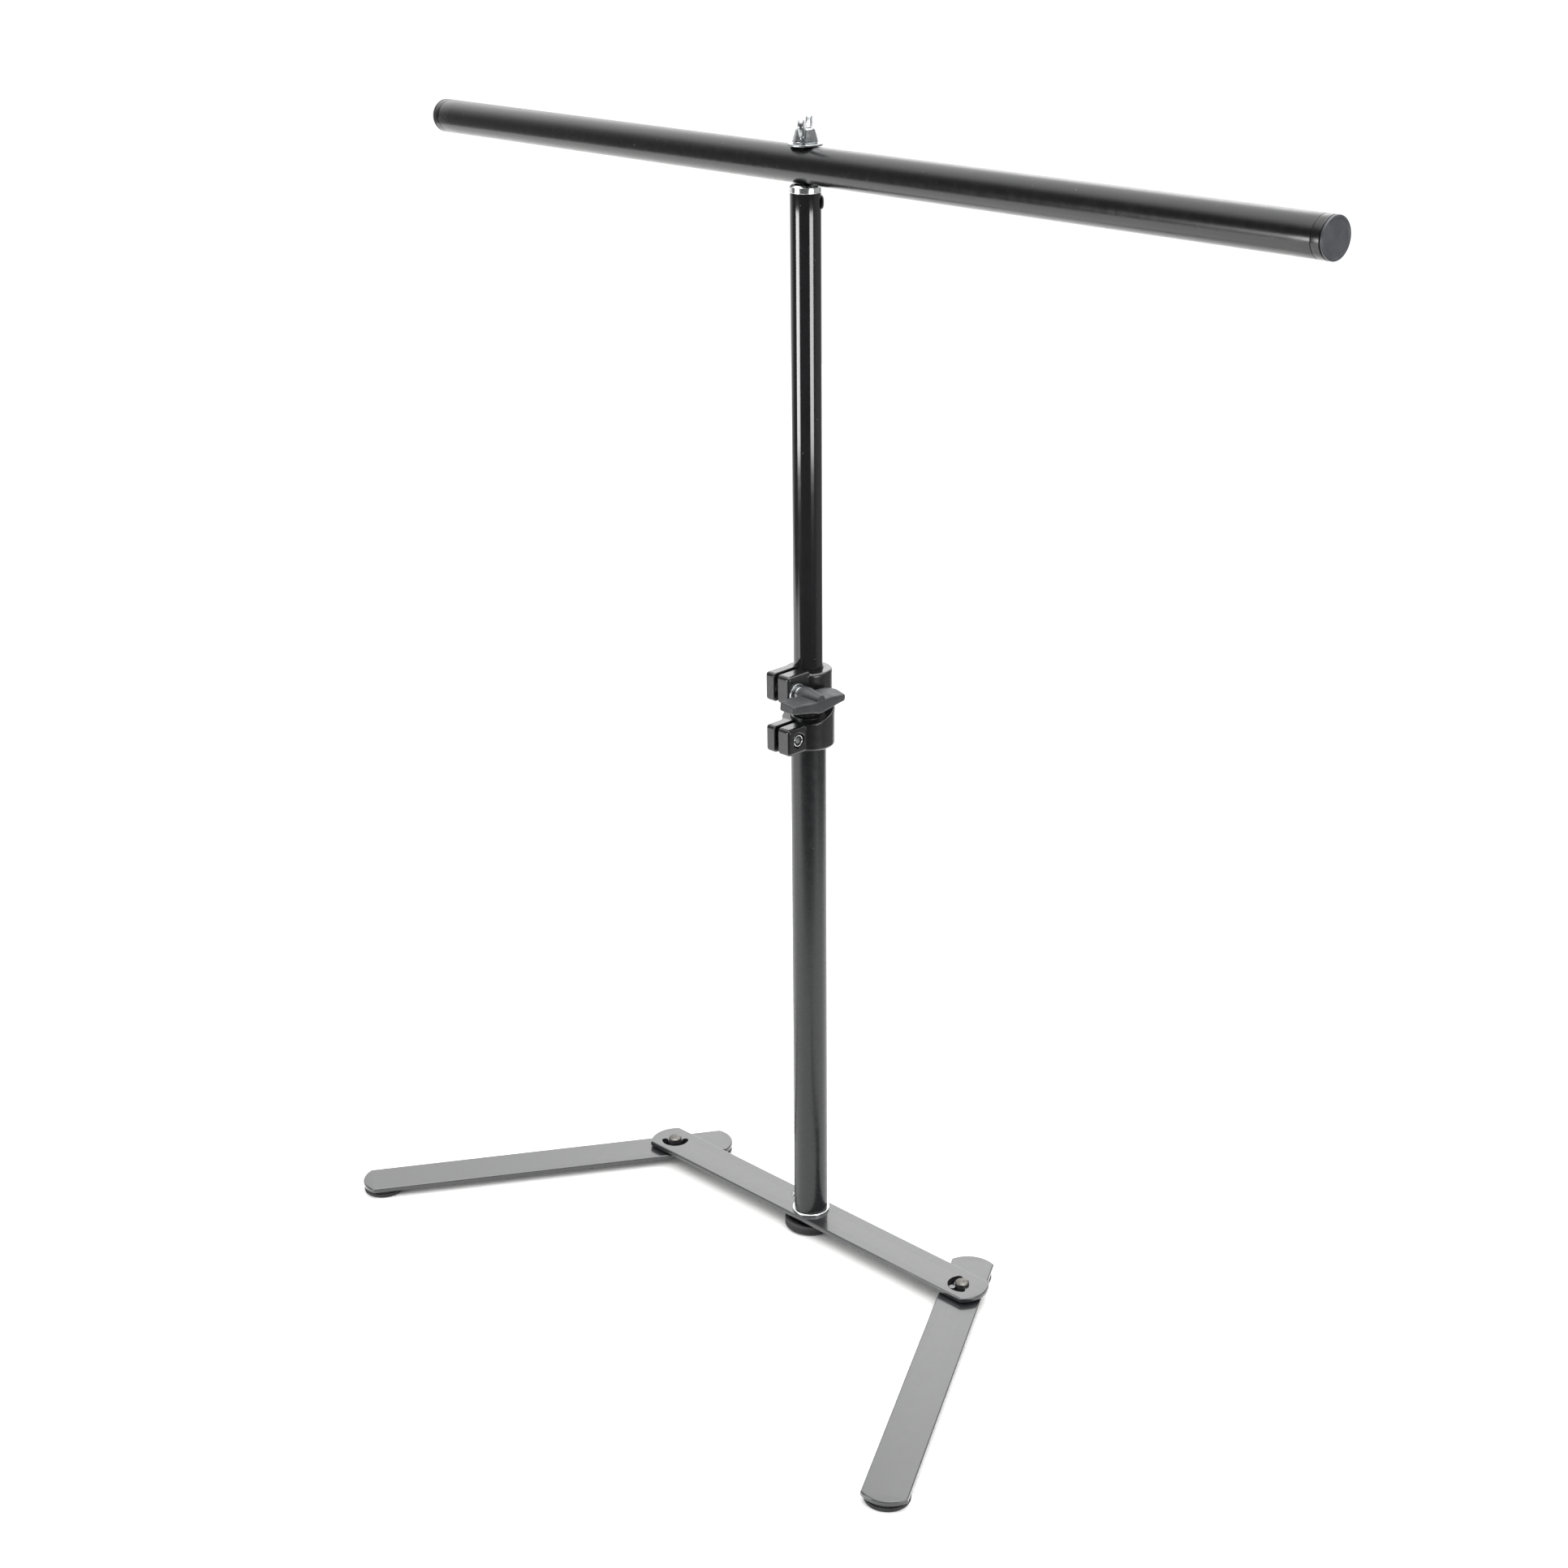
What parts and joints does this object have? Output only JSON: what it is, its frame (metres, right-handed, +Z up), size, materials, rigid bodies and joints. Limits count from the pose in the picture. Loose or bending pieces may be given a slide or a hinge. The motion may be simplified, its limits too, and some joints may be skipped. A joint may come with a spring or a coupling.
{
  "type": "tabletop backdrop stand",
  "caption": "Tabletop T-bar backdrop stand: telescoping mast on a flat bar with pivoting flat legs, carrying a horizontal tube held by a wing nut.",
  "frame": {"origin": "on the floor, on the axis of the mast, at the middle of the base knob underside", "axes": "+Z up along the mast; +X along the base bar; the two legs splay towards -Y"},
  "size_m": [0.6788, 0.2171, 0.6563],
  "materials": {
    "strap": "dark grey metallic enamel with a smooth sheen",
    "pin_steel": "same dark metallic enamel as the legs",
    "nickel": "nickel plated, satin",
    "spacer_nylon": "black nylon",
    "foot_rubber": "moulded black rubber",
    "knob_plastic": "black moulded nylon with a fine knurl",
    "bolt_steel": "zinc plated steel",
    "bright_alloy": "bright turned aluminium",
    "lower_paint": "satin charcoal powder coat",
    "clamp_plastic": "black glass-filled nylon with a soft gloss",
    "handle_plastic": "dark grey moulded nylon, fine texture",
    "zinc": "bright zinc plated",
    "gloss_black": "glossy black enamel",
    "bush_plastic": "natural acetal",
    "cap_plastic": "dark grey moulded plastic",
    "black_screw": "black oxide steel"
  },
  "bodies": {
    "base": {"base_bar": "strap", "left_rivet": "nickel", "right_rivet": "nickel", "left_spacer": "spacer_nylon", "right_spacer": "spacer_nylon", "base_insert": "bright_alloy", "insert_pin": "nickel", "lower_tube": "lower_paint", "clamp_body": "clamp_plastic", "clamp_lock_screw": "bolt_steel", "clamp_lock_nut": "bolt_steel", "knob_nut": "bolt_steel", "knob_washer": "zinc"},
    "left_leg_group": {"left_leg": "strap", "left_stop_pin": "pin_steel", "left_front_foot": "foot_rubber", "left_rear_foot": "foot_rubber"},
    "right_leg_group": {"right_leg": "strap", "right_stop_pin": "pin_steel", "right_front_foot": "foot_rubber", "right_rear_foot": "foot_rubber"},
    "base_knob_group": {"base_knob": "knob_plastic", "base_bolt": "bolt_steel"},
    "handle_group": {"clamp_handle": "handle_plastic", "knob_screw": "bolt_steel"},
    "bush_group": {"guide_bush": "bush_plastic"},
    "mast_group": {"upper_tube": "gloss_black", "top_spigot": "bright_alloy", "spigot_screw": "black_screw", "top_stud": "bolt_steel"},
    "crossbar_group": {"crossbar_tube": "gloss_black", "left_end_collar": "gloss_black", "right_end_collar": "gloss_black", "left_end_cap": "cap_plastic", "right_end_cap": "cap_plastic", "top_washer": "zinc"},
    "wing_nut_group": {"wing_nut": "zinc"}
  },
  "joints": [
    {"name": "left_leg_pivot", "type": "hinge", "parent": "base", "child": "left_leg_group", "pos_m": [-0.121, 0, 0.0055], "axis": [0, 0, 1], "range_deg": [-56.7, 107.3]},
    {"name": "right_leg_pivot", "type": "hinge", "parent": "base", "child": "right_leg_group", "pos_m": [0.121, 0, 0.0055], "axis": [0, 0, 1], "range_deg": [-102.8, 61.2]},
    {"name": "base_knob_spin", "type": "hinge", "parent": "base", "child": "base_knob_group", "pos_m": [0, 0, 0.004], "axis": [0, 0, 1], "continuous": true},
    {"name": "clamp_handle_spin", "type": "hinge", "parent": "base", "child": "handle_group", "pos_m": [0.0093, -0.0188, 0.3498], "axis": [1, 0, 0], "continuous": true},
    {"name": "mast_slide", "type": "slide", "parent": "base", "child": "bush_group", "axis": [0, 0, 1], "range_m": [-0.235, 0.02]},
    {"name": "mast_turn", "type": "hinge", "parent": "bush_group", "child": "mast_group", "pos_m": [0, 0, 0.45], "axis": [0, 0, 1], "continuous": true},
    {"name": "crossbar_swivel", "type": "hinge", "parent": "mast_group", "child": "crossbar_group", "pos_m": [0, 0, 0.632], "axis": [0, 0, 1], "continuous": true},
    {"name": "wing_nut_spin", "type": "hinge", "parent": "mast_group", "child": "wing_nut_group", "pos_m": [0, 0, 0.645], "axis": [0, 0, 1], "continuous": true}
  ]
}
